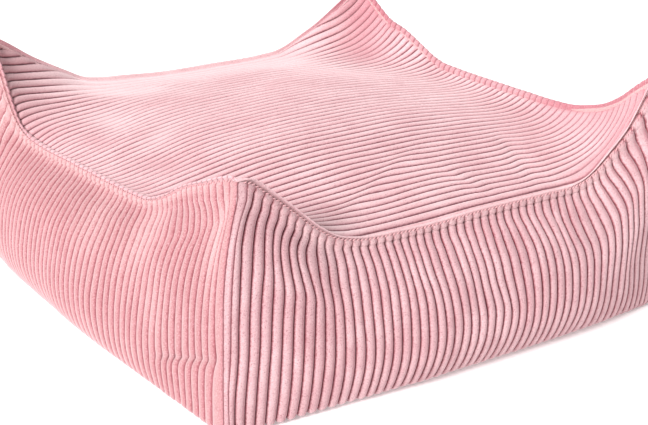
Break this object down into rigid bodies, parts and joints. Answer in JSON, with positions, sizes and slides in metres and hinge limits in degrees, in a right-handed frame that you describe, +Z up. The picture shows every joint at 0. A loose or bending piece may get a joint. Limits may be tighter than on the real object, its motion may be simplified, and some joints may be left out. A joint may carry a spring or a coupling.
{
  "type": "bean bag footstool",
  "caption": "Square bean bag footstool in ribbed corduroy: low crowned top, standing edge seam that climbs to an ear at each corner, bulging sides, flat base.",
  "frame": {"origin": "on the floor under the middle of the stool", "axes": "+Z up; +X along the front side, which is the side facing -Y, and along the top's ribs; +Y to the back"},
  "size_m": [0.5672, 0.5556, 0.2387],
  "materials": {
    "top_cloth": "wide-ribbed corduroy, pale pink, soft pile",
    "side_cloth": "wide-ribbed corduroy, pink, soft pile",
    "base_cloth": "plain woven cloth, matt"
  },
  "bodies": {
    "root": {"filled_top_panel": "top_cloth", "side_panel_front": "side_cloth", "side_panel_right": "side_cloth", "side_panel_back": "side_cloth", "side_panel_left": "side_cloth", "base_panel": "base_cloth"}
  },
  "joints": []
}
